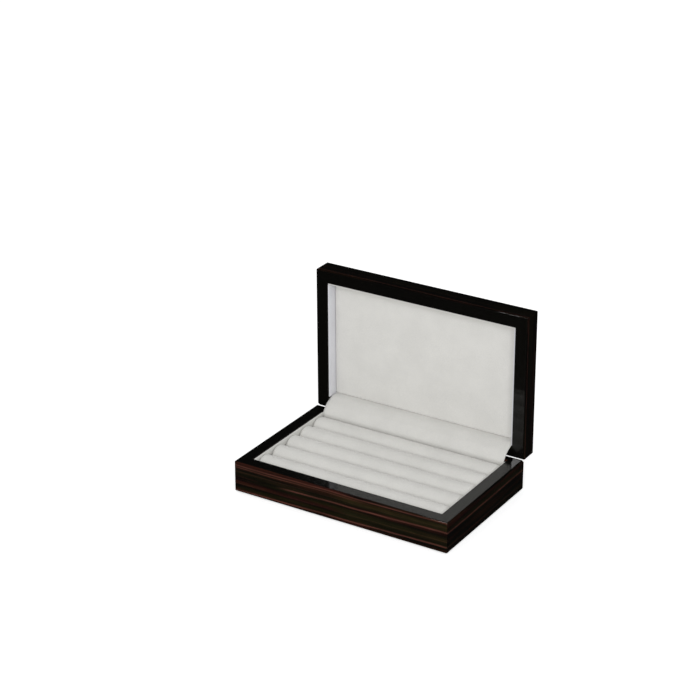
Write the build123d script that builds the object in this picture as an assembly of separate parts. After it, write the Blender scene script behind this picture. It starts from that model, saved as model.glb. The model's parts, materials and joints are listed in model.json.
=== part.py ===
from build123d import *
import math
import os

# Display box for cufflinks, standing on its felt with the lid open, held by the strip of lining
# behind the rolls, which is then pulled taut.
# Millimetres. X runs along the box, +Y towards the hinges, +Z up.
# The origin is the middle of the underside. The lid is drawn shut and then turned open.

# Case
box_length = 200.0
box_depth = 128.0
base_height = 28.0  # underside of the felt to the rim of the base
lid_height = 17.5
wall_thickness = 11.0
parting_gap = 0.3  # between the two rims when the lid is shut
edge_round = 0.9
rim_round = 0.3
bottom_panel_thickness = 3.0
panel_rebate = 5.0  # how far the bottom panel is let into the walls
panel_clearance = 0.1
felt_thickness = 0.8
felt_inset = 1.5
lid_panel_thickness = 3.5

# Back of the rims
rear_bevel = 2.6  # outside, on both rims, clears the turning lid
hinge_setback = 1.0  # end of the rims to the hinge line
open_angle = 89.5
flap_relief = 3.0  # bevel inside both back walls, where the strip folds when the lid shuts

# Lining
liner_thickness = 1.2
liner_drop = 0.5  # the liners end this far below the rims
floor_liner_thickness = 0.8
flap_thickness = 0.6
flap_clearance = 0.05
flap_side_gap = 0.3
flap_bulge = 0.4  # how far the taut strip still bows out
lining_side_gap = 0.2

# Rolls of the tray
roll_count = 5
roll_drop = 0.4  # the tops of the rolls lie this far below the rim
roll_gap = 0.1
roll_end_round = 3.0
cover_thickness = 0.6
core_clearance = 0.05

# Pad in the lid
pad_card_thickness = 1.2
pad_edge_thickness = 2.4
pad_crown = 0.6

# Butt hinges, let into the rims of the back walls
hinge_inset = 40.0  # end of the box to the middle of a hinge
leaf_length = 24.0
leaf_thickness = 0.8
leaf_margin = 0.4  # wood left between a leaf and the bevel inside the wall
leaf_clearance = 0.1
knuckle_radius = 1.4
knuckle_gap = 0.15
knuckle_relief = 0.35
pin_radius = 0.6
pin_clearance = 0.03
pin_head_radius = 1.0
pin_head_length = 0.4
pin_end_gap = 0.1

# Countersunk screws
screws_per_leaf = 3
screw_length = 5.0
screw_radius = 0.6
screw_head_radius = 1.2
screw_head_length = 0.6
screw_end_margin = 4.0
screw_slot_width = 0.3
screw_slot_depth = 0.25
screw_clearance = 0.02

# Levels and faces that follow
half_length = box_length / 2
half_depth = box_depth / 2
inner_half_length = half_length - wall_thickness
inner_half_depth = half_depth - wall_thickness
wall_foot = felt_thickness
tray_floor = wall_foot + bottom_panel_thickness
lining_floor = tray_floor + floor_liner_thickness
lid_rim = base_height + parting_gap
lid_top = lid_rim + lid_height
lid_ceiling = lid_top - lid_panel_thickness
pad_bed = lid_ceiling - pad_card_thickness
lined_half_length = inner_half_length - liner_thickness
lined_front = -inner_half_depth + liner_thickness
lining_half_width = lined_half_length - lining_side_gap

# Hinge line
rim_end = half_depth - rear_bevel
hinge_y = rim_end + hinge_setback
hinge_z = base_height + parting_gap / 2
hinge_line = Axis((0, hinge_y, hinge_z), (1, 0, 0))
leaf_reach = hinge_y - inner_half_depth - flap_relief - leaf_margin
hinge_centres = {"left": -half_length + hinge_inset, "right": half_length - hinge_inset}
flap_inner_radius = hinge_y - inner_half_depth + flap_clearance
flap_outer_radius = flap_inner_radius + flap_thickness
flap_face = hinge_y - flap_outer_radius
flap_half_width = lined_half_length - flap_side_gap

# Rolls
tray_depth = flap_face - lined_front
roll_pitch = tray_depth / roll_count
roll_radius = (roll_pitch - roll_gap) / 2

on_floor = (Align.CENTER, Align.CENTER, Align.MIN)
same_place = 1e-6  # two levels closer than this are one


def block(x_low, x_high, y_low, y_high, z_low, z_high):
    """A plain block between two opposite corners."""
    size = (x_high - x_low, y_high - y_low, z_high - z_low)
    return Pos(x_low, y_low, z_low) * Box(*size, align=Align.MIN)


def is_level(edge, level):
    """Whether an edge lies at a level."""
    return abs(edge.center().Z - level) < same_place


def rod(radius, length, x_middle=0.0):
    """A round bar along the hinge line."""
    return Pos(x_middle, hinge_y, hinge_z) * Rot(0, 90, 0) * Cylinder(radius, length)


def mirrored_to_lid(base_shape):
    """The lid's counterpart of a shape at the rim of the base."""
    return mirror(base_shape, Plane.XY.offset(hinge_z))


def eased_case(low, high, joint_level=None, cut=None):
    """A solid block with the outline of the box, eased on every edge but those of a glued joint."""
    case = block(-half_length, half_length, -half_depth, half_depth, low, high)
    if cut is not None:
        case -= cut
    eased = [e for e in case.edges() if joint_level is None or not is_level(e, joint_level)]
    return fillet(eased, edge_round)


def hollowed(case, rim_level, relief):
    """The case block with its inside cut away and the inner edge of its rim eased."""
    inside = block(
        -inner_half_length, inner_half_length, -inner_half_depth, inner_half_depth, 0, lid_top
    )
    frame = case - inside - relief
    rim = [
        e
        for e in frame.edges()
        if is_level(e, rim_level)
        and abs(e.center().X) < inner_half_length + rim_round
        and abs(e.center().Y) < inner_half_depth + flap_relief + rim_round
    ]
    return fillet(rim, rim_round)


def above_bevel(rim_y, foot_y, size, half_width):
    """Everything above a bevel that falls from the rim of the base at rim_y to foot_y."""
    outward = math.copysign(size, foot_y - rim_y)
    corners = [
        (rim_y - outward, base_height + size),
        (foot_y + outward, base_height - 2 * size),
        (foot_y + outward, base_height + size),
    ]
    profile = Plane.YZ * Polygon(*corners, align=None)
    return extrude(profile, half_width, both=True)


def rear_bevel_cut():
    """What the bevel behind the hinge line takes off the base."""
    return above_bevel(rim_end, half_depth, rear_bevel, half_length)


def flap_relief_cut():
    """What the bevel inside the back wall takes off the base."""
    rim_y = inner_half_depth + flap_relief
    return above_bevel(rim_y, inner_half_depth, flap_relief, inner_half_length)


def screw_places(x_middle):
    """The middles of the screws in the leaf of one hinge, at the rim of the base."""
    span = leaf_length - 2 * screw_end_margin
    y = hinge_y - (leaf_reach + knuckle_radius) / 2
    return [
        (x_middle - span / 2 + span * n / (screws_per_leaf - 1), y)
        for n in range(screws_per_leaf)
    ]


def screw(x, y):
    """A slotted countersunk wood screw, its head flush with the rim of the base."""
    head = Pos(x, y, base_height - screw_head_length) * Cone(
        screw_radius, screw_head_radius, screw_head_length, align=on_floor
    )
    shank = Pos(x, y, base_height - screw_length) * Cylinder(
        screw_radius, screw_length - screw_head_length, align=on_floor
    )
    slot = Pos(x, y, base_height) * Box(
        2 * screw_head_radius, screw_slot_width, 2 * screw_slot_depth
    )
    return head + shank - slot


def screw_hole(x, y):
    """The countersunk hole that a screw goes into."""
    widening = screw_clearance
    head = Pos(x, y, base_height - screw_head_length) * Cone(
        screw_radius + widening, screw_head_radius + widening, screw_head_length, align=on_floor
    )
    shank = Pos(x, y, base_height - screw_length) * Cylinder(
        screw_radius + widening, screw_length, align=on_floor
    )
    return head + shank


def hinge_recess(x_middle):
    """What one hinge takes out of the back wall of the base: leaf bed, knuckle slot, holes."""
    half_bed = leaf_length / 2 + leaf_clearance
    bed = block(
        x_middle - half_bed,
        x_middle + half_bed,
        hinge_y - leaf_reach - leaf_clearance,
        hinge_y,
        base_height - leaf_thickness,
        lid_rim,
    )
    slot_length = leaf_length + 2 * (pin_end_gap + pin_head_length + knuckle_relief)
    slot = rod(knuckle_radius + knuckle_relief, slot_length, x_middle)
    holes = [screw_hole(x, y) for x, y in screw_places(x_middle)]
    return [bed, slot] + holes


def knuckle_spans():
    """The lengths along the hinge that the three knuckles take, as (middle, length)."""
    length = (leaf_length - 2 * knuckle_gap) / 3
    step = length + knuckle_gap
    return [(-step, length), (0.0, length), (step, length)]


def hinge_leaf(x_middle, own_knuckles):
    """One leaf lying in the rim of the base, with the knuckles it carries."""
    plate = block(
        x_middle - leaf_length / 2,
        x_middle + leaf_length / 2,
        hinge_y - leaf_reach,
        hinge_y,
        base_height - leaf_thickness,
        base_height,
    )
    bore = rod(pin_radius + pin_clearance, leaf_length + 2 * knuckle_radius, x_middle)
    leaf = plate
    for index, (offset, length) in enumerate(knuckle_spans()):
        if index in own_knuckles:
            leaf += rod(knuckle_radius, length, x_middle + offset)
        else:
            leaf -= rod(knuckle_radius + knuckle_gap, length + 2 * knuckle_gap, x_middle + offset)
    leaf -= bore
    for x, y in screw_places(x_middle):
        leaf -= screw_hole(x, y)
    return leaf


def hinge_pin(x_middle):
    """The pin through the knuckles, with a riveted head at each end."""
    head_offset = leaf_length / 2 + pin_end_gap + pin_head_length / 2
    pin = rod(pin_radius, 2 * head_offset, x_middle)
    for side in (-1, 1):
        pin += rod(pin_head_radius, pin_head_length, x_middle + side * head_offset)
    return pin


def mitred_walls(frame):
    """The four walls of a frame, cut apart at its mitred corners."""
    spread = wall_thickness  # the cutting outlines reach this far past the frame
    outer_x, outer_y = half_length + spread, half_depth + spread
    inner_x, inner_y = inner_half_length - spread, inner_half_depth - spread
    outlines = {
        "front": [(-outer_x, -outer_y), (outer_x, -outer_y), (inner_x, -inner_y), (-inner_x, -inner_y)],
        "back": [(-outer_x, outer_y), (outer_x, outer_y), (inner_x, inner_y), (-inner_x, inner_y)],
        "left": [(-outer_x, -outer_y), (-outer_x, outer_y), (-inner_x, inner_y), (-inner_x, -inner_y)],
        "right": [(outer_x, -outer_y), (outer_x, outer_y), (inner_x, inner_y), (inner_x, -inner_y)],
    }
    walls = {}
    for side, outline in outlines.items():
        prism = extrude(Polygon(*outline, align=None), lid_top, dir=(0, 0, 1))
        walls[side] = frame & prism
    return walls


def base_walls():
    case = eased_case(wall_foot, base_height, cut=rear_bevel_cut())
    frame = hollowed(case, base_height, flap_relief_cut())
    seat_x = inner_half_length + panel_rebate + panel_clearance
    seat_y = inner_half_depth + panel_rebate + panel_clearance
    frame -= block(-seat_x, seat_x, -seat_y, seat_y, wall_foot, tray_floor)
    for x_middle in hinge_centres.values():
        frame -= hinge_recess(x_middle)
    return {f"base_{side}_wall": wall for side, wall in mitred_walls(frame).items()}


def lid_walls():
    case = eased_case(lid_rim, lid_ceiling, lid_ceiling, cut=mirrored_to_lid(rear_bevel_cut()))
    frame = hollowed(case, lid_rim, mirrored_to_lid(flap_relief_cut()))
    for x_middle in hinge_centres.values():
        for cut in hinge_recess(x_middle):
            frame -= mirrored_to_lid(cut)
    return {f"lid_{side}_wall": wall for side, wall in mitred_walls(frame).items()}


def lid_top_panel():
    return eased_case(lid_ceiling, lid_top, lid_ceiling)


def base_bottom_panel():
    reach_x = inner_half_length + panel_rebate
    reach_y = inner_half_depth + panel_rebate
    return block(-reach_x, reach_x, -reach_y, reach_y, wall_foot, tray_floor)


def base_felt():
    reach_x = half_length - felt_inset
    reach_y = half_depth - felt_inset
    return block(-reach_x, reach_x, -reach_y, reach_y, 0, felt_thickness)


def tray_floor_liner():
    return block(
        -inner_half_length,
        inner_half_length,
        -inner_half_depth,
        inner_half_depth,
        tray_floor,
        lining_floor,
    )


def side_liners(prefix, low, high):
    """The strips on the front and side walls between two levels."""
    front = block(-inner_half_length, inner_half_length, -inner_half_depth, lined_front, low, high)
    left = block(-inner_half_length, -lined_half_length, lined_front, inner_half_depth, low, high)
    right = block(lined_half_length, inner_half_length, lined_front, inner_half_depth, low, high)
    return {
        f"{prefix}_front_liner": front,
        f"{prefix}_left_liner": left,
        f"{prefix}_right_liner": right,
    }


def roll_shape(y_middle, radius, half_width, end_round):
    """A bar with a round back and straight sides, standing on the floor of the tray."""
    crown = base_height - roll_drop - roll_radius
    back = Pos(0, y_middle, crown) * Rot(0, 90, 0) * Cylinder(radius, 2 * half_width)
    body = block(
        -half_width, half_width, y_middle - radius, y_middle + radius, lining_floor, crown
    )
    bar = back + body
    below = block(
        -half_length, half_length, y_middle - 2 * radius, y_middle + 2 * radius, 0, lining_floor
    )
    bar -= below
    ends = [
        e
        for e in bar.edges()
        if abs(abs(e.center().X) - half_width) < same_place
        and e.center().Z > lining_floor + same_place
    ]
    return fillet(ends, end_round)


def rolls():
    """The rolls of the tray, each a velvet skin over a foam core."""
    nodes = {}
    core_inset = cover_thickness + core_clearance
    for n in range(roll_count):
        y_middle = lined_front + roll_pitch * (n + 0.5)
        skin = roll_shape(y_middle, roll_radius, lining_half_width, roll_end_round)
        hollow = roll_shape(
            y_middle,
            roll_radius - cover_thickness,
            lining_half_width - cover_thickness,
            roll_end_round - cover_thickness,
        )
        core = roll_shape(
            y_middle,
            roll_radius - core_inset,
            lining_half_width - core_inset,
            roll_end_round - core_inset,
        )
        nodes[f"roll_cover_{n + 1}"] = skin - hollow
        nodes[f"roll_core_{n + 1}"] = core
    return nodes


def hinge_cover_flap():
    """The velvet strip behind the rolls, taut across the hinge corner and along the lid."""
    turn = math.radians(180 - open_angle)
    outward = Vector(0, math.cos(turn), math.sin(turn))
    along_lid = Vector(0, math.sin(turn), -math.cos(turn))
    centre = Vector(0, hinge_y, hinge_z)
    lid_run = pad_bed - hinge_z
    half_turn = math.radians(180 - open_angle / 2)
    middle = Vector(0, math.cos(half_turn), math.sin(half_turn))

    def flat(point):
        return (point.Y, point.Z)

    taut_radius = flap_inner_radius * math.cos(math.radians(open_angle / 2)) + flap_bulge

    def face(radius):
        low = (hinge_y - radius, lining_floor)
        bend_start = (hinge_y - radius, hinge_z)
        bend_middle = flat(centre + middle * (taut_radius + radius - flap_inner_radius))
        bend_end = flat(centre + outward * radius)
        high = flat(centre + outward * radius + along_lid * lid_run)
        return low, bend_start, bend_middle, bend_end, high

    inner = face(flap_inner_radius)
    outer = face(flap_outer_radius)
    outline = [
        Line(inner[0], inner[1]),
        ThreePointArc(inner[1], inner[2], inner[3]),
        Line(inner[3], inner[4]),
        Line(inner[4], outer[4]),
        Line(outer[4], outer[3]),
        ThreePointArc(outer[3], outer[2], outer[1]),
        Line(outer[1], outer[0]),
        Line(outer[0], inner[0]),
    ]
    profile = Plane.YZ * make_face(outline)
    return extrude(profile, flap_half_width, both=True)


def lid_pad_card():
    return block(
        -inner_half_length,
        inner_half_length,
        -inner_half_depth,
        inner_half_depth,
        pad_bed,
        lid_ceiling,
    )


def crown_cylinder(width, level):
    """A cylinder along Y whose lowest line lies at the level, a crown below its edges."""
    radius = width * width / (8 * pad_crown) + pad_crown / 2
    return Pos(0, 0, level + radius) * Rot(90, 0, 0) * Cylinder(radius, 2 * box_length)


def lid_pad_cover():
    """The velvet pad, crowned a little along and across the lid."""
    pad_back = flap_face - flap_clearance
    pad_depth = pad_back - lined_front
    pad_middle = (pad_back + lined_front) / 2
    pad_low = pad_bed - pad_edge_thickness - pad_crown
    slab = Pos(0, pad_middle, pad_low) * Box(
        2 * lining_half_width, pad_depth, pad_edge_thickness + pad_crown, align=on_floor
    )
    along = crown_cylinder(2 * lining_half_width, pad_low)
    across = Rot(0, 0, 90) * crown_cylinder(pad_depth, pad_low)
    return slab & along & (Pos(0, pad_middle, 0) * across)


def base_nodes():
    nodes = base_walls()
    nodes["base_bottom_panel"] = base_bottom_panel()
    nodes["base_felt"] = base_felt()
    nodes["tray_floor_liner"] = tray_floor_liner()
    nodes.update(side_liners("base", lining_floor, base_height - liner_drop))
    nodes.update(rolls())
    nodes["hinge_cover_flap"] = hinge_cover_flap()
    screws = []
    for side, x_middle in hinge_centres.items():
        nodes[f"{side}_hinge_base_leaf"] = hinge_leaf(x_middle, own_knuckles=(0, 2))
        nodes[f"{side}_hinge_pin"] = hinge_pin(x_middle)
        screws += [screw(x, y) for x, y in screw_places(x_middle)]
    nodes["hinge_base_screws"] = Compound(children=screws)
    return nodes


def lid_nodes():
    """Every piece of the lid as it lies when the box is shut."""
    nodes = lid_walls()
    nodes["lid_top_panel"] = lid_top_panel()
    nodes["lid_pad_card"] = lid_pad_card()
    nodes["lid_pad_cover"] = lid_pad_cover()
    nodes.update(side_liners("lid", lid_rim + liner_drop, pad_bed))
    screws = []
    for side, x_middle in hinge_centres.items():
        leaf = hinge_leaf(x_middle, own_knuckles=(1,))
        nodes[f"{side}_hinge_lid_leaf"] = mirrored_to_lid(leaf)
        screws += [mirrored_to_lid(screw(x, y)) for x, y in screw_places(x_middle)]
    nodes["hinge_lid_screws"] = Compound(children=screws)
    return nodes


def opened(shape):
    """A piece of the shut lid, turned up to where the lid stands open."""
    return shape.rotate(hinge_line, -open_angle)


def build():
    nodes = base_nodes()
    for name, shape in lid_nodes().items():
        nodes[name] = opened(shape)
    os.makedirs("parts", exist_ok=True)
    for name, shape in nodes.items():
        export_step(shape, f"parts/{name}.step")
    print(f"{len(nodes)} nodes written")


build()
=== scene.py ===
import bpy
import json
import math
from mathutils import Matrix, Vector, noise


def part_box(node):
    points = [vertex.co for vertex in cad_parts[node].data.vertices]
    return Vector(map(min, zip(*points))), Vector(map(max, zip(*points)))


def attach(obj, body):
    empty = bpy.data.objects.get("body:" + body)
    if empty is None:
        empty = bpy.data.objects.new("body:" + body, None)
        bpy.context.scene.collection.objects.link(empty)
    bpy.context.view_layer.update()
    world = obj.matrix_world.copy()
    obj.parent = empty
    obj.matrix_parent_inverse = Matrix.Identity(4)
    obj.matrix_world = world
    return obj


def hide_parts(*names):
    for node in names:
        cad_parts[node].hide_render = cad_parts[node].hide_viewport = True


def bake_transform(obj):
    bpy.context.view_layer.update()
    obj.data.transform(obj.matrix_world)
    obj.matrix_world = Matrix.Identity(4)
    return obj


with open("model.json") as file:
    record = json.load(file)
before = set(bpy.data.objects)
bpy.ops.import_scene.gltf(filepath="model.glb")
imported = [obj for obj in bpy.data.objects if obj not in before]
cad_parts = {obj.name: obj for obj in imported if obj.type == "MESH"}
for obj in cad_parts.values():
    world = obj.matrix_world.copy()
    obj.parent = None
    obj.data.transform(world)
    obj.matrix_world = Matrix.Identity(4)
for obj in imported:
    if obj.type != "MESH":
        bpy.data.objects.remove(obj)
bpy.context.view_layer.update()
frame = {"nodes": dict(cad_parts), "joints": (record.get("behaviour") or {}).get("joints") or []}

nodes = frame["nodes"]
mm = 0.001
print("frame loaded,", len(nodes), "CAD nodes")


def srgb(red, green, blue):
    # a colour as it looks on screen, turned into the linear values that a shader takes
    def linear(value):
        value /= 255
        return value / 12.92 if value <= 0.04045 else ((value + 0.055) / 1.055) ** 2.4
    return (linear(red), linear(green), linear(blue), 1)


# places that several pieces share, all read from the frame
hinge = Vector(frame["joints"][0]["pos_m"])
openAngle = math.radians(frame["joints"][0]["range_deg"][1])
shutTurn = Matrix.Translation(hinge) @ Matrix.Rotation(openAngle, 4, "X") @ Matrix.Translation(-hinge)
openTurn = shutTurn.inverted()
rollCount = sum(1 for name in nodes if name.startswith("roll_cover_"))


def shutBox(name):
    # the box of a lid node as it lies when the lid is shut
    points = [shutTurn @ v.co for v in nodes[name].data.vertices]
    low = Vector([min(p[i] for p in points) for i in range(3)])
    high = Vector([max(p[i] for p in points) for i in range(3)])
    return low, high


def inScene(name, data):
    item = bpy.data.objects.new(name, data)
    bpy.context.scene.collection.objects.link(item)
    return item


def settled(holder):
    # the plain mesh that a holder's modifiers give, and the holder goes
    mesh = bpy.data.meshes.new_from_object(holder.evaluated_get(bpy.context.evaluated_depsgraph_get()))
    bpy.data.objects.remove(holder)
    return mesh


# short ways to build a shader or a geometry tree
def newMaterial(name):
    material = bpy.data.materials.new(name)
    material.use_nodes = True
    tree = material.node_tree
    return material, tree, tree.nodes["Principled BSDF"]


def addNode(tree, kind, **settings):
    node = tree.nodes.new(kind)
    for key, value in settings.items():
        if key in node.inputs:
            node.inputs[key].default_value = value
        else:
            setattr(node, key, value)
    return node


def mathNode(tree, operation, first, second=0.5, third=None):
    node = tree.nodes.new("ShaderNodeMath")
    node.operation = operation
    for socket, value in zip(node.inputs, (first, second, third)):
        if value is None:
            continue
        if isinstance(value, bpy.types.NodeSocket):
            tree.links.new(value, socket)
        else:
            socket.default_value = value
    return node.outputs[0]


def mixColour(tree, factor, first, second, blend="MIX"):
    node = tree.nodes.new("ShaderNodeMix")
    node.data_type = "RGBA"
    node.blend_type = blend
    for socket, value in ((node.inputs[0], factor), (node.inputs[6], first), (node.inputs[7], second)):
        if isinstance(value, bpy.types.NodeSocket):
            tree.links.new(value, socket)
        else:
            socket.default_value = value
    return node.outputs[2]


def colourRamp(tree, value, stops):
    node = tree.nodes.new("ShaderNodeValToRGB")
    ramp = node.color_ramp
    while len(ramp.elements) < len(stops):
        ramp.elements.new(0.5)
    for element, (place, colour) in zip(ramp.elements, stops):
        element.position = place
        element.color = colour
    tree.links.new(value, node.inputs[0])
    return node.outputs[0]


def grey(value):
    return (value, value, value, 1)


def stretchedNoise(tree, vector, stretch, detail, roughness):
    mapping = addNode(tree, "ShaderNodeMapping", Scale=stretch)
    tree.links.new(vector, mapping.inputs["Vector"])
    node = addNode(tree, "ShaderNodeTexNoise", Scale=1.0, Detail=detail, Roughness=roughness)
    tree.links.new(mapping.outputs[0], node.inputs["Vector"])
    return node.outputs["Fac"]


# striped veneer under lacquer
veneer = {
    "ground": srgb(25, 22, 7),
    "groundWarm": srgb(37, 20, 9),
    "streak": srgb(102, 60, 50),
    "streakDeep": srgb(66, 24, 18),
    "olive": srgb(52, 48, 20),
    "ebony": srgb(8, 7, 5),
    "topGround": srgb(17, 8, 7),
    "topWarm": srgb(52, 13, 14),
    "topStreak": srgb(92, 28, 27),
    # how many times a metre each layer changes along x, y and z
    "wall": {"broad": (7, 9, 210), "fine": (55, 55, 3400), "thread": (14, 14, 900)},
    "top": {"broad": (6, 190, 6), "fine": (45, 3000, 45), "thread": (9, 620, 9)},
    "layers": {"broad": (2.0, 0.45), "fine": (2.0, 0.6), "thread": (3.0, 0.55)},    # detail and roughness
    "wanderChanges": (11, 11, 18),
    "patchChanges": (30, 30, 160),
    "broadStops": (0.34, 0.52, 0.66),
    "threadStops": (0.57, 0.72),
    "threadStrength": 0.42,
    "fineStops": (0.35, 0.65),
    "fineShades": (0.62, 1.25),
    "wander": 0.004,       # how far a streak strays, in metres
    "patchy": 1.5,         # how much a streak's strength varies along it
    "faintest": 0.2,
    "halfLength": 0.1,     # a streak's climb is counted over this length each way
    "fade": 0.02,          # the length over which a streak fades out
    "roughness": 0.42,
    "specular": 0.08,
    "coat": 0.54,
    "coatRoughness": 0.02,
    "coatBend": 1.5,       # its index of refraction
    "grainBump": 0.05,
    "grainDepth": 0.0002,
    "ripple": 0.008,
    "rippleDepth": 0.002,
    "rippleScale": 38.0,
    "rimEdge": 0.0001,     # only what lies this close to the rim's level is plain ebony
    "topEdge": 0.0003,     # how far down the rounded edge the top's veneer reaches
}


def axesOf(tree, vector):
    node = tree.nodes.new("ShaderNodeSeparateXYZ")
    tree.links.new(vector, node.inputs[0])
    return node.outputs


def veneerColour(tree, place, kind, burgundy, shade, tones, wall=None, figure=()):
    # each placed band of the figure has its tone, its level at x = 0 and its half width as shares of
    # the wall's height, its strength, its climb over half the length, and its first and last x
    broad, fine, thread = [stretchedNoise(tree, place, veneer[kind][layer], *veneer["layers"][layer])
                           for layer in ("broad", "fine", "thread")]
    ground, warm, deep = [veneer[tone] for tone in tones]
    colour = colourRamp(tree, broad, list(zip(veneer["broadStops"], (ground, veneer["ebony"], warm))))
    threadMask = colourRamp(tree, thread, list(zip(veneer["threadStops"], (grey(0), grey(1)))))
    threadMask = mathNode(tree, "MULTIPLY", threadMask, veneer["threadStrength"] * burgundy)
    colour = mixColour(tree, threadMask, colour, deep)

    if figure:
        foot, height = wall
        x, y, z = axesOf(tree, place)
        wander = stretchedNoise(tree, place, veneer["wanderChanges"], 2.0, 0.5)
        wander = mathNode(tree, "SUBTRACT", wander, 0.5)
        wander = mathNode(tree, "MULTIPLY", wander, veneer["wander"])
        level = mathNode(tree, "ADD", z, wander)
        level = mathNode(tree, "SUBTRACT", level, foot)
        level = mathNode(tree, "DIVIDE", level, height)
        breakUp = stretchedNoise(tree, place, veneer["patchChanges"], 2.0, 0.6)
        breakUp = mathNode(tree, "MULTIPLY_ADD", breakUp, veneer["patchy"], veneer["faintest"])
        for tone, middle, half, strength, climb, first, last in figure:
            centre = mathNode(tree, "MULTIPLY_ADD", x, climb / veneer["halfLength"], middle)
            away = mathNode(tree, "ABSOLUTE", mathNode(tree, "SUBTRACT", level, centre))
            near = mathNode(tree, "SUBTRACT", 1.0, mathNode(tree, "DIVIDE", away, half))
            near = mathNode(tree, "MAXIMUM", near, 0.0)
            near = mathNode(tree, "MULTIPLY", mathNode(tree, "MULTIPLY", near, strength), breakUp)
            for end, way in ((first, 1), (last, -1)):
                # it fades out over the last stretch before an end
                inside = mathNode(tree, "SUBTRACT", x, end)
                inside = mathNode(tree, "MULTIPLY", inside, way / veneer["fade"])
                inside = mathNode(tree, "MINIMUM", mathNode(tree, "MAXIMUM", inside, 0.0), 1.0)
                near = mathNode(tree, "MULTIPLY", near, inside)
            colour = mixColour(tree, near, colour, veneer[tone])

    fineMask = colourRamp(tree, fine, list(zip(veneer["fineStops"], map(grey, veneer["fineShades"]))))
    colour = mixColour(tree, 1.0, colour, fineMask, "MULTIPLY")
    # the whole is multiplied by shade, which is painted shade where it is below 1
    return mixColour(tree, 1.0, colour, grey(shade), "MULTIPLY"), fine


def veneerMaterial(name, turn, wall, figure, burgundy, shade, topBurgundy=None):
    # turn: how far the piece has swung from the shut box, wall: (foot, height) of the wall in metres.
    # With topBurgundy, what faces up has a veneer of its own, and only the edge is like the walls
    material, tree, shader = newMaterial(name)
    coordinates = tree.nodes.new("ShaderNodeTexCoord").outputs["Object"]
    toHinge = addNode(tree, "ShaderNodeMapping", Location=-hinge)
    tree.links.new(coordinates, toHinge.inputs["Vector"])
    shut = addNode(tree, "ShaderNodeMapping", Rotation=(turn, 0, 0), Location=hinge)
    tree.links.new(toHinge.outputs[0], shut.inputs["Vector"])
    place = shut.outputs[0]
    z = axesOf(tree, place)[2]
    foot, height = wall

    colour, fine = veneerColour(tree, place, "wall", burgundy, shade,
                                ("ground", "groundWarm", "streakDeep"), wall, figure)
    if topBurgundy:
        top, fine = veneerColour(tree, place, "top", topBurgundy, 1.0,
                                 ("topGround", "topWarm", "topStreak"))
        upper = mathNode(tree, "GREATER_THAN", z, foot + height - veneer["topEdge"])
        colour = mixColour(tree, upper, colour, top)
    else:
        # the rim is the base's upper end and the lid's lower one
        if turn == 0:
            rim = mathNode(tree, "GREATER_THAN", z, foot + height - veneer["rimEdge"])
        else:
            rim = mathNode(tree, "LESS_THAN", z, foot + veneer["rimEdge"])
        colour = mixColour(tree, rim, colour, veneer["ebony"])
    tree.links.new(colour, shader.inputs["Base Color"])

    grain = addNode(tree, "ShaderNodeBump", Strength=veneer["grainBump"], Distance=veneer["grainDepth"])
    tree.links.new(fine, grain.inputs["Height"])
    tree.links.new(grain.outputs[0], shader.inputs["Normal"])
    ripple = addNode(tree, "ShaderNodeTexNoise", Scale=veneer["rippleScale"], Detail=1.0)
    tree.links.new(coordinates, ripple.inputs["Vector"])
    coatBump = addNode(tree, "ShaderNodeBump", Strength=veneer["ripple"], Distance=veneer["rippleDepth"])
    tree.links.new(ripple.outputs["Fac"], coatBump.inputs["Height"])
    tree.links.new(coatBump.outputs[0], shader.inputs["Coat Normal"])
    shader.inputs["Roughness"].default_value = veneer["roughness"]
    shader.inputs["Specular IOR Level"].default_value = veneer["specular"]
    shader.inputs["Coat Weight"].default_value = veneer["coat"]
    shader.inputs["Coat Roughness"].default_value = veneer["coatRoughness"]
    shader.inputs["Coat IOR"].default_value = veneer["coatBend"]
    return material


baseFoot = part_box("base_front_wall")[0].z
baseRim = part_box("base_front_wall")[1].z
lidRim = shutBox("lid_front_wall")[0].z
lidTop = shutBox("lid_top_panel")[1].z
throughout = (-0.3, 0.3)    # past both ends of the box
# tone, level, half width, strength, climb, first x and last x of each band
baseFigure = (("streakDeep", 0.965, 0.11, 0.42, 0.0, -0.3, 0.02),
              ("streakDeep", 0.36, 0.10, 0.30, 0.03, -0.3, 0.01),
              ("streakDeep", 0.08, 0.09, 0.36, 0.03, -0.3, 0.04),
              ("streakDeep", 0.60, 0.09, 0.25, 0.05, -0.02, 0.3),
              ("olive", 0.78, 0.14, 0.48, 0.06, -0.01, 0.3),
              ("olive", 0.36, 0.16, 0.34, 0.05, -0.01, 0.3),
              ("olive", 0.62, 0.16, 0.16, 0.0, -0.3, 0.02),
              ("streak", 0.925, 0.030, 0.66, 0.055) + throughout,
              ("streak", 0.855, 0.026, 0.42, 0.05, -0.3, 0.03),
              ("streak", 0.585, 0.038, 0.78, 0.10, -0.06, 0.3),
              ("streak", 0.125, 0.036, 0.72, 0.085) + throughout,
              ("streak", 0.74, 0.020, 0.14, 0.07) + throughout,
              ("streak", 0.33, 0.020, 0.14, 0.06) + throughout)
sideFigure = (("streak", 0.67, 0.034, 0.85, 0.0) + throughout,
              ("streakDeep", 0.90, 0.06, 0.50, 0.0) + throughout,
              ("streak", 0.20, 0.026, 0.22, 0.0) + throughout)
lidFigure = (("streak", 0.12, 0.045, 0.62, 0.0) + throughout,
             ("streak", 0.46, 0.030, 0.16, 0.02) + throughout)
wallOfBase = (baseFoot, baseRim - baseFoot)
wallOfLid = (lidRim, lidTop - lidRim)
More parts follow.
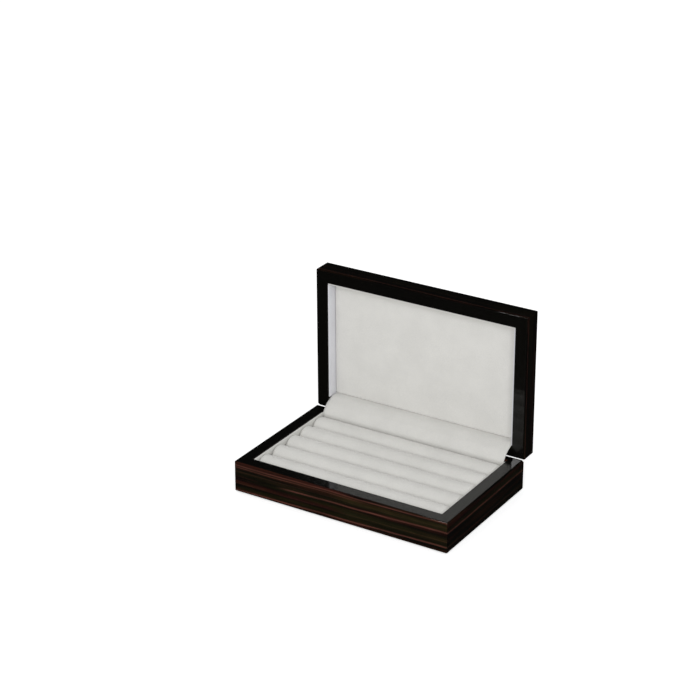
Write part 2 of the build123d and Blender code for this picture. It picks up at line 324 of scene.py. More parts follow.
# the two numbers after the figure: how much burgundy the threads have, and how light the whole is, where a
# value below 1 is painted shade that darkens the base's side walls and the lid's walls
baseVeneer = veneerMaterial("baseVeneer", 0.0, wallOfBase, baseFigure, 0.7, 1.0)
baseSideVeneer = veneerMaterial("baseSideVeneer", 0.0, wallOfBase, sideFigure, 0.7, 0.7)
lidVeneer = veneerMaterial("lidVeneer", openAngle, wallOfLid, lidFigure, 0.5, 0.5)
topVeneer = veneerMaterial("topVeneer", openAngle, wallOfLid, lidFigure, 0.5, 0.5, topBurgundy=1.5)


# velvet, felt, foam, card, board and metal
pileLook = {
    "napScale": 42.0,
    "napShades": (0.965, 1.02),
    "napStops": (0.36, 0.64),
    "speckleShades": (0.90, 1.04),
    "speckleStops": (0.30, 0.62),
    "bump": 0.35,
    "bumpDepth": 0.3 * mm,
    "roughness": 0.95,
    "specular": 0.15,
    "sheenRoughness": 0.45,
}


def velvetMaterial(name, colour, pile=2600.0, sheen=0.35):
    # pile: how many times a metre the speckle of the pile changes
    material, tree, shader = newMaterial(name)
    coordinates = tree.nodes.new("ShaderNodeTexCoord").outputs["Object"]
    nap = addNode(tree, "ShaderNodeTexNoise", Scale=pileLook["napScale"], Detail=4.0, Roughness=0.6)
    tree.links.new(coordinates, nap.inputs["Vector"])
    speckle = addNode(tree, "ShaderNodeTexNoise", Scale=pile, Detail=2.0, Roughness=0.7)
    tree.links.new(coordinates, speckle.inputs["Vector"])
    dark, light = [tuple(min(1, part * share) for part in colour[:3]) + (1,)
                   for share in pileLook["napShades"]]
    shade = colourRamp(tree, nap.outputs["Fac"], list(zip(pileLook["napStops"], (dark, light))))
    grainMask = colourRamp(tree, speckle.outputs["Fac"],
                           list(zip(pileLook["speckleStops"], map(grey, pileLook["speckleShades"]))))
    shade = mixColour(tree, 1.0, shade, grainMask, "MULTIPLY")
    tree.links.new(shade, shader.inputs["Base Color"])
    bump = addNode(tree, "ShaderNodeBump", Strength=pileLook["bump"], Distance=pileLook["bumpDepth"])
    tree.links.new(speckle.outputs["Fac"], bump.inputs["Height"])
    tree.links.new(bump.outputs[0], shader.inputs["Normal"])
    shader.inputs["Roughness"].default_value = pileLook["roughness"]
    shader.inputs["Specular IOR Level"].default_value = pileLook["specular"]
    shader.inputs["Sheen Weight"].default_value = sheen
    shader.inputs["Sheen Roughness"].default_value = pileLook["sheenRoughness"]
    return material


velvet = velvetMaterial("velvet", srgb(210, 209, 205))
velvetCool = velvetMaterial("velvetCool", srgb(216, 216, 221))    # a cooler, lighter copy of the velvet for the side linings of the lid: painted light in their colour
velvetPad = velvetMaterial("velvetPad", srgb(217, 216, 212))      # a lighter copy of the velvet for the lid's pad: painted light, so that the pad reads brighter than the rolls
felt = velvetMaterial("feltBlack", srgb(34, 33, 35), pile=1500.0, sheen=0.2)
foam = velvetMaterial("foam", srgb(226, 221, 205), pile=900.0, sheen=0.0)
card = velvetMaterial("greyCard", srgb(150, 140, 124), pile=1200.0, sheen=0.0)


# what has fibres or brush marks along x
streaky = {
    "board": {"changes": (60, 900, 900), "detail": 4.0, "dark": srgb(92, 68, 45),
              "light": srgb(124, 96, 66)},
    "metal": {"changes": (300, 9000, 9000), "detail": 3.0, "dark": srgb(176, 172, 162),
              "light": srgb(206, 202, 192)},
    "stops": (0.3, 0.7),
    "boardRoughness": 0.7,
    "metalRoughness": 0.22,
    "brushRoughness": 0.2,    # added where a brush mark is strongest
}


def streakyMaterial(name, kind):
    material, tree, shader = newMaterial(name)
    coordinates = tree.nodes.new("ShaderNodeTexCoord").outputs["Object"]
    look = streaky[kind]
    marks = stretchedNoise(tree, coordinates, look["changes"], look["detail"], 0.6)
    colour = colourRamp(tree, marks, list(zip(streaky["stops"], (look["dark"], look["light"]))))
    tree.links.new(colour, shader.inputs["Base Color"])
    if kind == "metal":
        rough = mathNode(tree, "MULTIPLY_ADD", marks, streaky["brushRoughness"], streaky["metalRoughness"])
        tree.links.new(rough, shader.inputs["Roughness"])
        shader.inputs["Metallic"].default_value = 1.0
    else:
        shader.inputs["Roughness"].default_value = streaky["boardRoughness"]
    return material


board = streakyMaterial("plainBoard", "board")
nickel = streakyMaterial("satinNickel", "metal")


def paintNode(name, material):
    nodes[name].data.materials.clear()
    nodes[name].data.materials.append(material)


for name in nodes:
    if name == "lid_top_panel":
        paintNode(name, topVeneer)
    elif name.startswith("lid_") and name.endswith("_wall"):
        paintNode(name, lidVeneer)
    elif name in ("base_left_wall", "base_right_wall"):
        paintNode(name, baseSideVeneer)
    elif name.endswith("_wall"):
        paintNode(name, baseVeneer)
    elif name == "base_bottom_panel":
        paintNode(name, board)
    elif name == "base_felt":
        paintNode(name, felt)
    elif "core" in name:
        paintNode(name, foam)
    elif name == "lid_pad_card":
        paintNode(name, card)
    elif "hinge" in name and name != "hinge_cover_flap":
        paintNode(name, nickel)
    else:
        paintNode(name, velvet)
print("materials made")


# geometry trees: each is run once on an empty holder, and only its plain mesh is kept

def geometryTree(name, inputs):
    tree = bpy.data.node_groups.new(name, "GeometryNodeTree")
    tree.interface.new_socket("Geometry", in_out="OUTPUT", socket_type="NodeSocketGeometry")
    for label, kind in inputs:
        tree.interface.new_socket(label, in_out="INPUT", socket_type="NodeSocket" + kind)
    given = tree.nodes.new("NodeGroupInput")
    result = tree.nodes.new("NodeGroupOutput")
    return tree, {socket.name: socket for socket in given.outputs if socket.name}, result.inputs[0]


def vectorOf(tree, x, y, z):
    node = tree.nodes.new("ShaderNodeCombineXYZ")
    for socket, value in zip(node.inputs, (x, y, z)):
        if isinstance(value, bpy.types.NodeSocket):
            tree.links.new(value, socket)
        else:
            socket.default_value = value
    return node.outputs[0]


def finishTree(tree, geometry, material, result):
    real = tree.nodes.new("GeometryNodeRealizeInstances")
    tree.links.new(geometry, real.inputs[0])
    painted = tree.nodes.new("GeometryNodeSetMaterial")
    tree.links.new(real.outputs[0], painted.inputs["Geometry"])
    tree.links.new(material, painted.inputs["Material"])
    tree.links.new(painted.outputs[0], result)


def runTree(tree, values):
    holder = inScene(tree.name, bpy.data.meshes.new(tree.name))
    modifier = holder.modifiers.new(tree.name, "NODES")
    modifier.node_group = tree
    for item in tree.interface.items_tree:
        if item.item_type == "SOCKET" and item.in_out == "INPUT":
            modifier[item.identifier] = values[item.name]
    return settled(holder)


def addPiece(name, mesh, smooth=True):
    mesh.name = name
    piece = inScene(name, mesh)
    for face in mesh.polygons:
        face.use_smooth = smooth
    return piece


def subdivided(mesh, name):
    # the mesh after one level of Subdivision Surface
    holder = inScene(name, mesh)
    modifier = holder.modifiers.new("smooth", "SUBSURF")
    modifier.levels = modifier.render_levels = 1
    return settled(holder)


puffing = {
    "scale": 4.0,
    "pressure": 150.0,
    "mass": 0.3,
    "stretch": 15.0,
    "shear": 5.0,
    "bend": 0.5,
    "quality": 4,
    "frames": 20,
    "quickShare": 0.6,    # of the cap
}


def puffed(mesh, held, cap, name):
    # swells a padded shape with Cloth, on a larger copy, and gives each point's way outwards
    start = [v.co.copy() for v in mesh.vertices]
    normals = [v.normal.copy() for v in mesh.vertices]
    scale = puffing["scale"]
    large = mesh.copy()
    large.transform(Matrix.Scale(scale, 4))
    holder = inScene(name + "Cloth", large)
    group = holder.vertex_groups.new(name="held")
    group.add(sorted(held), 1.0, "REPLACE")
    cloth = holder.modifiers.new("cloth", "CLOTH")
    cloth.settings.quality = puffing["quality"]
    cloth.settings.mass = puffing["mass"]
    cloth.settings.tension_stiffness = cloth.settings.compression_stiffness = puffing["stretch"]
    cloth.settings.shear_stiffness = puffing["shear"]
    cloth.settings.bending_stiffness = puffing["bend"]
    cloth.settings.use_pressure = True
    cloth.settings.uniform_pressure_force = puffing["pressure"]
    cloth.settings.vertex_group_mass = "held"
    cloth.settings.effector_weights.gravity = 0
    cloth.point_cache.frame_start, cloth.point_cache.frame_end = 1, puffing["frames"]
    scene = bpy.context.scene
    for step in range(1, puffing["frames"] + 1):
        scene.frame_set(step)
    graph = bpy.context.evaluated_depsgraph_get()
    swollen = holder.evaluated_get(graph).to_mesh()
    ways = [v.co / scale - old for v, old in zip(swollen.vertices, start)]
    bpy.data.objects.remove(holder)
    scene.frame_set(1)
    return [normal * max(0.0, min(cap, way.dot(normal))) for way, normal in zip(ways, normals)]


def evened(mesh, ways, rounds):
    # spreads each point's way over its neighbours, so that no cell of the simulation shows
    beside = [[] for v in mesh.vertices]
    for edge in mesh.edges:
        a, b = edge.vertices
        beside[a].append(b)
        beside[b].append(a)
    for turn in range(rounds):
        ways = [(way + sum((ways[k] for k in beside[n]), Vector()) / len(beside[n])) / 2
                for n, way in enumerate(ways)]
    return ways


# the five rolls of the tray: foam wrapped in velvet, with eased ends

rolls = {
    "cellsAlong": 80,
    "cellsAcross": 10,
    "cellsUp": 10,
    "endRound": 3.0 * mm,
    "crowding": 1.5,         # 1 keeps all the cells the same length
    "slack": 0.15 * mm,      # the shape is drawn this much smaller and then swells
    "swell": 0.35 * mm,
    "gap": 0.06 * mm,        # left between two rolls where they press together
    "evenings": 2,
    "uneven": 0.10 * mm,
    "waver": Vector((38, 50, 50)),    # how many times a metre the unevenness changes
    "apart": 9.7,                     # from one roll's unevenness to the next
    "seed": 7,
}


def rollTree():
    inputs = (("Length", "Float"), ("Radius", "Float"), ("Height", "Float"), ("End round", "Float"),
              ("Crowding", "Float"), ("Place", "Vector"), ("Cells along", "Int"), ("Cells across", "Int"),
              ("Cells up", "Int"), ("Material", "Material"))
    tree, given, result = geometryTree("velvetRoll", inputs)
    length, radius, height = given["Length"], given["Radius"], given["Height"]
    block = tree.nodes.new("GeometryNodeMeshCube")
    width = mathNode(tree, "MULTIPLY", radius, 2.0)
    tree.links.new(vectorOf(tree, length, width, height), block.inputs["Size"])
    for axis, label in (("X", "Cells along"), ("Y", "Cells across"), ("Z", "Cells up")):
        tree.links.new(mathNode(tree, "ADD", given[label], 1.0), block.inputs["Vertices " + axis])
    x, y, z = axesOf(tree, tree.nodes.new("GeometryNodeInputPosition").outputs[0])
    # the cells get shorter towards the ends, where the easing needs them
    halfLength = mathNode(tree, "MULTIPLY", length, 0.5)
    fromMiddle = mathNode(tree, "DIVIDE", mathNode(tree, "ABSOLUTE", x), halfLength)
    fromEnd = mathNode(tree, "SUBTRACT", 1.0, fromMiddle)
    fromEnd = mathNode(tree, "POWER", mathNode(tree, "MAXIMUM", fromEnd, 0.0), given["Crowding"])
    newX = mathNode(tree, "MULTIPLY", mathNode(tree, "SUBTRACT", 1.0, fromEnd), halfLength)
    x = mathNode(tree, "MULTIPLY", newX, mathNode(tree, "SIGN", x))
    # the top of the block goes round: each point is drawn in from the square to its circle
    up = mathNode(tree, "ADD", z, mathNode(tree, "MULTIPLY_ADD", height, -0.5, radius))
    high = mathNode(tree, "MAXIMUM", up, 0.0)
    widest = mathNode(tree, "MAXIMUM", mathNode(tree, "ABSOLUTE", y), high)
    reach = mathNode(tree, "SQRT", mathNode(tree, "ADD", mathNode(tree, "MULTIPLY", y, y),
                                            mathNode(tree, "MULTIPLY", high, high)))
    drawn = mathNode(tree, "DIVIDE", widest, mathNode(tree, "MAXIMUM", reach, 1e-6))
    # the ends are eased: the section is smaller there
    toEnd = mathNode(tree, "SUBTRACT", halfLength, mathNode(tree, "ABSOLUTE", x))
    inEase = mathNode(tree, "MAXIMUM", mathNode(tree, "SUBTRACT", given["End round"], toEnd), 0.0)
    square = mathNode(tree, "SUBTRACT", mathNode(tree, "MULTIPLY", given["End round"], given["End round"]),
                      mathNode(tree, "MULTIPLY", inEase, inEase))
    inset = mathNode(tree, "SUBTRACT", given["End round"], mathNode(tree, "SQRT", square))
    eased = mathNode(tree, "SUBTRACT", 1.0, mathNode(tree, "DIVIDE", inset, radius))
    both = mathNode(tree, "MULTIPLY", drawn, eased)
    isHigh = mathNode(tree, "GREATER_THAN", up, 0.0)
    upShare = mathNode(tree, "MULTIPLY_ADD", isHigh, mathNode(tree, "SUBTRACT", both, 1.0), 1.0)
    newY = mathNode(tree, "MULTIPLY", y, both)
    newZ = mathNode(tree, "SUBTRACT", mathNode(tree, "MULTIPLY_ADD", up, upShare, height), radius)
    shaped = tree.nodes.new("GeometryNodeSetPosition")
    tree.links.new(block.outputs["Mesh"], shaped.inputs["Geometry"])
    tree.links.new(vectorOf(tree, x, newY, newZ), shaped.inputs["Position"])
    placed = tree.nodes.new("GeometryNodeTransform")
    tree.links.new(shaped.outputs[0], placed.inputs["Geometry"])
    tree.links.new(given["Place"], placed.inputs["Translation"])
    finishTree(tree, placed.outputs[0], given["Material"], result)
    return tree


def makeRolls():
    tree = rollTree()
    slack = rolls["slack"]
    for number in range(1, rollCount + 1):
        low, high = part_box("roll_cover_%d" % number)
        middle = (low + high) / 2
        values = {"Length": high.x - low.x - 2 * slack, "Radius": (high.y - low.y) / 2 - slack,
                  "Height": high.z - low.z - slack, "End round": rolls["endRound"],
                  "Crowding": rolls["crowding"], "Place": (middle.x, middle.y, low.z),
                  "Cells along": rolls["cellsAlong"], "Cells across": rolls["cellsAcross"],
                  "Cells up": rolls["cellsUp"], "Material": velvet}
        mesh = runTree(tree, values)
        # the floor, the neighbours and the walls hold a roll below its round part
        held = {v.index for v in mesh.vertices if v.co.z < high.z - (high.y - low.y) / 2}
        ways = evened(mesh, puffed(mesh, held, rolls["swell"], "roll%d" % number), rolls["evenings"])
        half = (high.y - low.y) / 2 - rolls["gap"] / 2
        shift = Vector((0, 0, rolls["apart"] * number + rolls["seed"]))
        for vertex, way in zip(mesh.vertices, ways):
            point = vertex.co + way
            if vertex.index not in held:
                waver = noise.noise(point * rolls["waver"] + shift)
                point += vertex.normal * waver * rolls["uneven"]
            point.x = max(low.x, min(high.x, point.x))
            point.y = max(middle.y - half, min(middle.y + half, point.y))
            point.z = max(low.z, point.z)
            vertex.co = point
        piece = addPiece("velvetRoll%d" % number, subdivided(mesh, "roll"))
        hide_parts("roll_cover_%d" % number)
        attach(piece, "base")


makeRolls()
print("rolls made")


# slabs with rounded edges: liners, floor of the tray, pad and felt

def spread(low, high, edge, cell):
    # the places of a slab's cuts along one side: two close to each end, the rest about a cell apart
    inner = high - low - 2 * edge
    count = max(1, round(inner / cell))
    middle = [low + edge + inner * step / count for step in range(count + 1)]
    inEdge = 0.3 * edge
    return [low, low + inEdge] + middle + [high - inEdge, high]


mostRound = 0.499    # of a slab's side


def softSlab(low, high, edge, cell):
    # a closed grid on the six faces of a block, its edges rounded to the radius edge where there is room
    rounds = [min(edge, mostRound * (high[i] - low[i])) for i in range(3)]
    cuts = [spread(low[i], high[i], rounds[i], cell) for i in range(3)]
    points, index, faces = [], {}, []

    def pointAt(place):
        if place not in index:
            spot = Vector([cuts[i][place[i]] for i in range(3)])
            core = Vector([max(low[i] + rounds[i], min(high[i] - rounds[i], spot[i])) for i in range(3)])
            out = spot - core
            index[place] = len(points)
            furthest = max(abs(value) for value in out)
            points.append(core + out.normalized() * furthest if out.length > 0 else spot)
        return index[place]

    for axis in range(3):
        across, along = (axis + 1) % 3, (axis + 2) % 3
        for end in (0, len(cuts[axis]) - 1):
            for a in range(len(cuts[across]) - 1):
                for b in range(len(cuts[along]) - 1):
                    corners = []
                    for stepA, stepB in ((0, 0), (1, 0), (1, 1), (0, 1)):
                        place = [0, 0, 0]
                        place[axis], place[across], place[along] = end, a + stepA, b + stepB
                        corners.append(pointAt(tuple(place)))
                    faces.append(corners if end else corners[::-1])
    mesh = bpy.data.meshes.new("slab")
    mesh.from_pydata(points, [], faces)
    mesh.update()
    return mesh


liners = {"edge": 0.55 * mm, "cell": 6.0 * mm, "uneven": 0.05 * mm, "waver": 90}


def makeLiners():
    for name in [n for n in nodes if n.endswith("_liner")]:
        inLid = name.startswith("lid_")
        low, high = shutBox(name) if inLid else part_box(name)
        mesh = softSlab(low, high, liners["edge"], liners["cell"])
        for vertex in mesh.vertices:
            waver = 0.5 + 0.5 * noise.noise(vertex.co * liners["waver"])
            vertex.co -= vertex.normal * liners["uneven"] * waver
        if inLid:
            mesh.transform(openTurn)
        # the side linings of the lid take the cooler, lighter copy of the velvet, which is painted light
        mesh.materials.append(velvetCool if name in ("lid_left_liner", "lid_right_liner") else velvet)
        piece = addPiece("velvetLiner_" + name.replace("_liner", ""), mesh)
        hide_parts(name)
        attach(piece, "lid" if inLid else "base")


makeLiners()
print("liners made")


pad = {
    "edge": 0.8 * mm,
    "cell": 3.0 * mm,
    "swell": 0.6 * mm,
    "spare": 0.12 * mm,    # wider than its solid at each end, so that it meets the linings
    "evenings": 10,
    "uneven": 0.05 * mm,
    "waver": 30,
}


def makeLidPad():
    # thin foam under velvet, on the card in the ceiling of the lid
    coverLow, high = shutBox("lid_pad_cover")
    low = coverLow + Vector((-pad["spare"], 0, pad["swell"]))
    high.x += pad["spare"]
    mesh = softSlab(low, high, pad["edge"], pad["cell"])
    held = {v.index for v in mesh.vertices if v.co.z > low.z + 0.5 * pad["edge"]}
    ways = evened(mesh, puffed(mesh, held, pad["swell"], "pad"), pad["evenings"])
    for vertex, way in zip(mesh.vertices, ways):
        point = vertex.co + way
        if vertex.index not in held:
            waver = noise.noise(Vector((point.x * pad["waver"], point.y * pad["waver"], 4.1)))
            point += vertex.normal * pad["uneven"] * waver
        point.x = max(low.x, min(high.x, point.x))
        point.y = max(low.y, min(high.y, point.y))
        point.z = max(coverLow.z, min(high.z, point.z))
        vertex.co = point
    mesh = subdivided(mesh, "pad")
    mesh.transform(openTurn)
    # the pad takes the lighter copy of the velvet, which is painted light
    mesh.materials.append(velvetPad)
    piece = addPiece("lidPad", mesh)
    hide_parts("lid_pad_cover")
    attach(piece, "lid")


makeLidPad()
print("lid pad made")


feltSheet = {"edge": 0.35 * mm, "cell": 4.0 * mm, "uneven": 0.12 * mm, "waver": 260}


def makeFelt():
    low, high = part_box("base_felt")
    mesh = softSlab(low, high, feltSheet["edge"], feltSheet["cell"])
    for vertex in mesh.vertices:
        # the cut edge of felt wavers a little, and never outwards
        waver = 0.5 + 0.5 * noise.noise(vertex.co * feltSheet["waver"])
        vertex.co.x -= vertex.normal.x * feltSheet["uneven"] * waver
        vertex.co.y -= vertex.normal.y * feltSheet["uneven"] * waver
    mesh.materials.append(felt)
    piece = addPiece("feltUnderside", mesh)
    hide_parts("base_felt")
    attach(piece, "base")


makeFelt()
print("felt made")


# the strip of velvet behind the rolls, which runs over the hinges and up into the lid

flap = {
    "thickness": 0.6 * mm,
    "bow": 0.72 * mm,          # how far the taut stretch is drawn out, before its corners are cut
    "cell": 2.0 * mm,
    "step": 0.7 * mm,
    "cornerCuts": 3,
    "press": 1.0 * mm,         # how far it leans towards the last roll below the rim
    # the points of the leg: its share from the foot up, and its share of the press
    "lean": ((0.45, 0.0), (0.7, 0.35), (0.88, 1.0), (1.0, 0.7)),
    "ease": 4.2 * mm,          # how early it turns over the edge of the lid
    "lastBend": 0.75,          # share of its way up the lid, from where it runs straight
    "pucker": 0.10 * mm,
    # each has its changes a metre along x, its changes along the whole strip, its seed and its strength
    "puckers": ((55, 2.0, 3.3, 1.0), (140, 3.0, 8.1, 0.5)),
    "tautMiddle": 0.56,        # where the puckers are strongest, as a share of the strip's length
    "tautReach": 0.22,
}


def smoothLine(points, rounds):
    # cuts the corners of a line again and again, which leaves its two ends where they are
    for turn in range(rounds):
        cut = [points[0]]
        for a, b in zip(points, points[1:]):
            cut += [a.lerp(b, 0.25), a.lerp(b, 0.75)]
        points = cut + [points[-1]]
    return points


def makeFlap():
    low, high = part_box("hinge_cover_flap")
    legY = low.y + flap["thickness"] / 2
    foot = Vector((0, legY, low.z))
    baseEnd = Vector((0, legY, hinge.z))
    shutLeg = baseEnd + Vector((0, 0, shutBox("lid_pad_card")[0].z - hinge.z))
    lidEnd = openTurn @ baseEnd
    top = openTurn @ shutLeg
    chord = (baseEnd + lidEnd) / 2
    bowed = chord + (chord - hinge).normalized() * flap["bow"]
    leg = [foot.lerp(baseEnd, share) - Vector((0, part * flap["press"], 0)) for share, part in flap["lean"]]
    overEdge = [lidEnd + (end - lidEnd).normalized() * flap["ease"] for end in (chord, top)]
    onLid = [lidEnd.lerp(top, flap["lastBend"]), top]
    line = smoothLine([foot] + leg + [bowed] + overEdge + onLid, flap["cornerCuts"])
    # even steps along the line
    away = [0.0]
    for a, b in zip(line, line[1:]):
        away.append(away[-1] + (b - a).length)
    steps = round(away[-1] / flap["step"])
    path, at = [], 0
    for step in range(steps + 1):
        goal = away[-1] * step / steps
        while at < len(away) - 2 and away[at + 1] < goal:
            at += 1
        path.append(line[at].lerp(line[at + 1], (goal - away[at]) / (away[at + 1] - away[at])))
    columns = round((high.x - low.x) / flap["cell"])
    points, faces = [], []
    for row, spot in enumerate(path):
        share = row / steps
        taut = max(0.0, 1 - abs((share - flap["tautMiddle"]) / flap["tautReach"])) ** 0.5
        ahead, behind = path[min(row + 1, steps)], path[max(row - 1, 0)]
        along = (ahead - behind).normalized()
        out = Vector((0, -along.z, along.y))
        for column in range(columns + 1):
            x = low.x + (high.x - low.x) * column / columns
            pucker = sum(strength * noise.noise(Vector((x * onX, share * onStrip, seed)))
                         for onX, onStrip, seed, strength in flap["puckers"])
            points.append(Vector((x, spot.y, spot.z)) + out * (flap["pucker"] * taut * pucker))
    for row in range(steps):
        for column in range(columns):
            a = row * (columns + 1) + column
            faces.append((a, a + 1, a + columns + 2, a + columns + 1))
    mesh = bpy.data.meshes.new("strip")
    mesh.from_pydata(points, [], faces)
    mesh.update()
    holder = inScene("strip", mesh)
    thick = holder.modifiers.new("thickness", "SOLIDIFY")
    thick.thickness = flap["thickness"]
    thick.offset = 0.0
    final = settled(holder)
    final.materials.append(velvet)
    piece = addPiece("hingeStrip", final)
    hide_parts("hinge_cover_flap")
    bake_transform(piece)


makeFlap()
print("hinge strip made")


# countersunk screws of the four hinge leaves

screws = {
    "length": 5.0 * mm,
    "shank": 0.6 * mm,
    "head": 1.2 * mm,
    "headDepth": 0.6 * mm,
    "slotWidth": 0.3 * mm,
    "slotDepth": 0.25 * mm,
    "pointShare": 0.3,     # of the length
    "tipShare": 0.12,      # of the shank's radius
    "perLeaf": 3,
    "sides": 24,
    "seed": 11,
    "turn": 1.5,           # radians either way
}


def screwTree():
    inputs = (("Length", "Float"), ("Shank", "Float"), ("Head", "Float"), ("Head depth", "Float"),
              ("Slot width", "Float"), ("Slot depth", "Float"), ("First", "Vector"), ("Spacing", "Vector"),
              ("Leaf spacing", "Vector"), ("Per leaf", "Int"), ("Sides", "Int"), ("Material", "Material"))
    tree, given, result = geometryTree("leafScrews", inputs)

    def cone(top, bottom, depth, lift):
        node = tree.nodes.new("GeometryNodeMeshCone")
        tree.links.new(given["Sides"], node.inputs["Vertices"])
        for label, value in (("Radius Top", top), ("Radius Bottom", bottom), ("Depth", depth)):
            tree.links.new(value, node.inputs[label])
        move = tree.nodes.new("GeometryNodeTransform")
        tree.links.new(node.outputs["Mesh"], move.inputs["Geometry"])
        tree.links.new(vectorOf(tree, 0.0, 0.0, lift), move.inputs["Translation"])
        return move.outputs[0]

    headLift = mathNode(tree, "MULTIPLY", given["Head depth"], -1.0)
    toPoint = mathNode(tree, "MULTIPLY", given["Length"], 1 - screws["pointShare"])
    shankLength = mathNode(tree, "SUBTRACT", toPoint, given["Head depth"])
    shankLift = mathNode(tree, "SUBTRACT", headLift, shankLength)
    pointLength = mathNode(tree, "MULTIPLY", given["Length"], screws["pointShare"])
    tip = mathNode(tree, "MULTIPLY", given["Shank"], screws["tipShare"])
    parts = [cone(given["Head"], given["Shank"], given["Head depth"], headLift),
             cone(given["Shank"], given["Shank"], shankLength, shankLift),
             cone(given["Shank"], tip, pointLength, mathNode(tree, "SUBTRACT", shankLift, pointLength))]
    whole = tree.nodes.new("GeometryNodeMeshBoolean")
    whole.operation = "UNION"
    for part in parts:
        tree.links.new(part, whole.inputs["Mesh 2"])
    # the bar that cuts the slot is longer than the head is wide, and half of it stands above the head
    bar = tree.nodes.new("GeometryNodeMeshCube")
    barLength = mathNode(tree, "MULTIPLY", given["Head"], 3.0)
    barHeight = mathNode(tree, "MULTIPLY", given["Slot depth"], 2.0)
    tree.links.new(vectorOf(tree, barLength, given["Slot width"], barHeight), bar.inputs["Size"])
    slotted = tree.nodes.new("GeometryNodeMeshBoolean")
    slotted.operation = "DIFFERENCE"
    tree.links.new(whole.outputs["Mesh"], slotted.inputs["Mesh 1"])
    tree.links.new(bar.outputs["Mesh"], slotted.inputs["Mesh 2"])
    row = tree.nodes.new("GeometryNodeMeshLine")
    tree.links.new(given["Per leaf"], row.inputs["Count"])
    tree.links.new(given["Spacing"], row.inputs["Offset"])
    leaves = addNode(tree, "GeometryNodeMeshLine", Count=2)
    tree.links.new(given["First"], leaves.inputs["Start Location"])
    tree.links.new(given["Leaf spacing"], leaves.inputs["Offset"])
    rows = tree.nodes.new("GeometryNodeInstanceOnPoints")
    tree.links.new(leaves.outputs[0], rows.inputs["Points"])
    tree.links.new(row.outputs[0], rows.inputs["Instance"])
    spots = tree.nodes.new("GeometryNodeRealizeInstances")
    tree.links.new(rows.outputs[0], spots.inputs[0])
    # each screw stopped at its own turn, so the slots point different ways
    turn = addNode(tree, "FunctionNodeRandomValue", data_type="FLOAT", Seed=screws["seed"])
    turn.inputs[2].default_value, turn.inputs[3].default_value = -screws["turn"], screws["turn"]
    placed = tree.nodes.new("GeometryNodeInstanceOnPoints")
    tree.links.new(spots.outputs[0], placed.inputs["Points"])
    tree.links.new(slotted.outputs["Mesh"], placed.inputs["Instance"])
    tree.links.new(vectorOf(tree, 0.0, 0.0, turn.outputs[1]), placed.inputs["Rotation"])
    finishTree(tree, placed.outputs[0], given["Material"], result)
    return tree


def makeScrews():
    low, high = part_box("hinge_base_screws")
    head = screws["head"]
    # the outermost screw at each end gives the first place, and the leaves give the rest
    first = Vector((low.x + head, (low.y + high.y) / 2, high.z))
    leafLow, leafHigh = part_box("left_hinge_base_leaf")
    leafMiddle = (leafLow.x + leafHigh.x) / 2
    spacing = (leafMiddle - first.x) * 2 / (screws["perLeaf"] - 1)
    values = {"Length": screws["length"], "Shank": screws["shank"], "Head": head,
              "Head depth": screws["headDepth"], "Slot width": screws["slotWidth"],
              "Slot depth": screws["slotDepth"], "First": first, "Spacing": (spacing, 0, 0),
              "Leaf spacing": (-2 * leafMiddle, 0, 0), "Per leaf": screws["perLeaf"],
              "Sides": screws["sides"], "Material": nickel}
    tree = screwTree()
    for body, node in (("base", "hinge_base_screws"), ("lid", "hinge_lid_screws")):
        mesh = runTree(tree, values)
        if body == "lid":
            # the lid's screws stand head down over the base's, and then turn open with the lid
            over = Matrix.Translation(Vector((0, first.y, hinge.z)))
            mesh.transform(over @ Matrix.Rotation(math.pi, 4, "X") @ over.inverted())
            mesh.transform(openTurn)
        piece = addPiece(body + "HingeScrews", mesh, smooth=False)
        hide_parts(node)
        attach(piece, body)


makeScrews()
print("screws made")


# camera, floor and light
cameraView = {
    "place": (0.78803, -1.31489, 0.81270),
    "aim": (-0.04534, 0.02744, 0.10552),
    "lens": 108.0,
    "sensor": 36.0,
    "nearest": 0.05,
    "furthest": 60.0,
}


def aimItem(item, place, aim):
    item.rotation_mode = "QUATERNION"
    item.location = place
    item.rotation_quaternion = (Vector(aim) - Vector(place)).to_track_quat("-Z", "Y")


def makeCamera():
    data = bpy.data.cameras.new("photoCamera")
    camera = inScene("photoCamera", data)
    aimItem(camera, cameraView["place"], cameraView["aim"])
    data.sensor_width = cameraView["sensor"]
    data.lens = cameraView["lens"]
    data.clip_start, data.clip_end = cameraView["nearest"], cameraView["furthest"]
    bpy.context.scene.camera = camera


studio = {
    "floorSize": 12.0,
    "floorColour": srgb(232, 232, 232),
    "floorRoughness": 0.9,
    "floorLift": 0.50,       # what the floor adds for the camera, so that it reads as white
    "glossShow": 0.015,      # how bright the white surroundings are in the lacquer: it mirrors a dark room
    "worldLight": 0.67,
}


def rayKinds(tree):
    # whether a ray comes straight from the camera or through something clear, and whether off a gloss
    rays = tree.nodes.new("ShaderNodeLightPath")
    straight = mathNode(tree, "MAXIMUM", rays.outputs["Is Camera Ray"], rays.outputs["Is Transmission Ray"])
    return straight, rays.outputs["Is Glossy Ray"]


def mixShaders(tree, share, first, second, output):
    mix = tree.nodes.new("ShaderNodeMixShader")
    for value, socket in zip((share, first, second), mix.inputs):
        tree.links.new(value, socket)
    tree.links.new(mix.outputs[0], output)


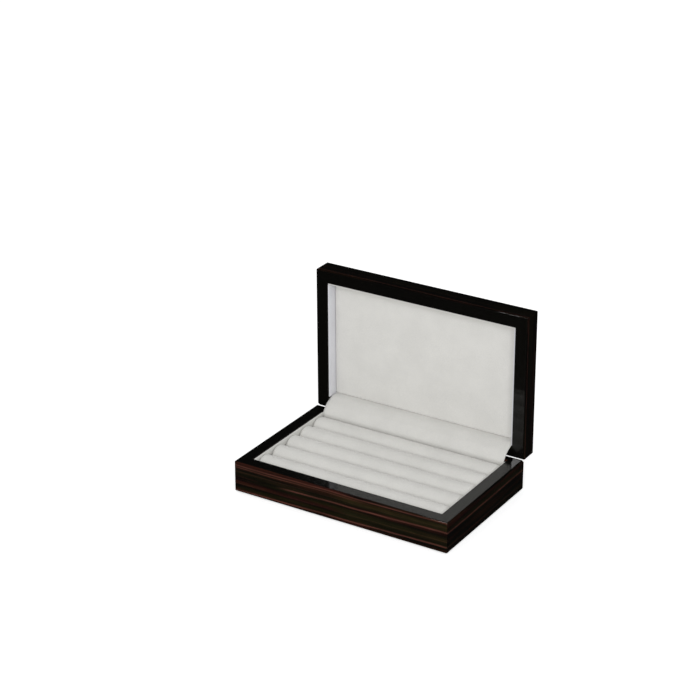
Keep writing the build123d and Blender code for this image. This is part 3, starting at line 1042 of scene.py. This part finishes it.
def makeWorld():
    world = bpy.data.worlds.new("studio")
    bpy.context.scene.world = world
    world.use_nodes = True
    tree = world.node_tree
    tree.nodes.clear()
    output = tree.nodes.new("ShaderNodeOutputWorld")
    straight, glossy = rayKinds(tree)
    soft = addNode(tree, "ShaderNodeBackground", Color=grey(1))
    strength = mathNode(tree, "MULTIPLY", glossy, studio["glossShow"] - studio["worldLight"])
    strength = mathNode(tree, "ADD", strength, studio["worldLight"])
    tree.links.new(strength, soft.inputs["Strength"])
    white = addNode(tree, "ShaderNodeBackground", Color=grey(1), Strength=1.0)
    mixShaders(tree, straight, soft.outputs[0], white.outputs[0], output.inputs["Surface"])


def makeFloor():
    half = studio["floorSize"] / 2
    mesh = bpy.data.meshes.new("floor")
    corners = [(-half, -half, 0), (half, -half, 0), (half, half, 0), (-half, half, 0)]
    mesh.from_pydata(corners, [], [(0, 1, 2, 3)])
    floor = inScene("floor", mesh)
    material, tree, shader = newMaterial("paleFloor")
    shader.inputs["Base Color"].default_value = studio["floorColour"]
    shader.inputs["Roughness"].default_value = studio["floorRoughness"]
    shader.inputs["Specular IOR Level"].default_value = 0.0
    straight, glossy = rayKinds(tree)
    lift = addNode(tree, "ShaderNodeEmission", Color=grey(1))
    tree.links.new(mathNode(tree, "MULTIPLY", straight, studio["floorLift"]), lift.inputs["Strength"])
    lifted = tree.nodes.new("ShaderNodeAddShader")
    tree.links.new(shader.outputs[0], lifted.inputs[0])
    tree.links.new(lift.outputs[0], lifted.inputs[1])
    dim = addNode(tree, "ShaderNodeEmission", Color=grey(1), Strength=studio["glossShow"])
    output = tree.nodes["Material Output"].inputs["Surface"]
    mixShaders(tree, glossy, lifted.outputs[0], dim.outputs[0], output)
    mesh.materials.append(material)


# the small lamp shows in the base's rim by way of the lid's, as a bright patch at the right rear corner
lamps = {
    "softKey": {"place": (1.30, -2.00, 1.35), "aim": (0.0, 0.0, 0.06), "size": 1.5, "power": 33.0},
    "glint": {"place": (-0.738, -1.581, 0.934), "aim": (0.095, 0.060, 0.028), "size": 0.068, "power": 1.05},
}


def makeLamps():
    for name, lamp in lamps.items():
        data = bpy.data.lights.new(name, "AREA")
        data.shape = "SQUARE"
        data.size = lamp["size"]
        data.energy = lamp["power"]
        aimItem(inScene(name, data), lamp["place"], lamp["aim"])


makeCamera()
makeWorld()
makeFloor()
makeLamps()
bpy.context.scene.view_settings.view_transform = "Standard"
print("camera, floor and lights made")
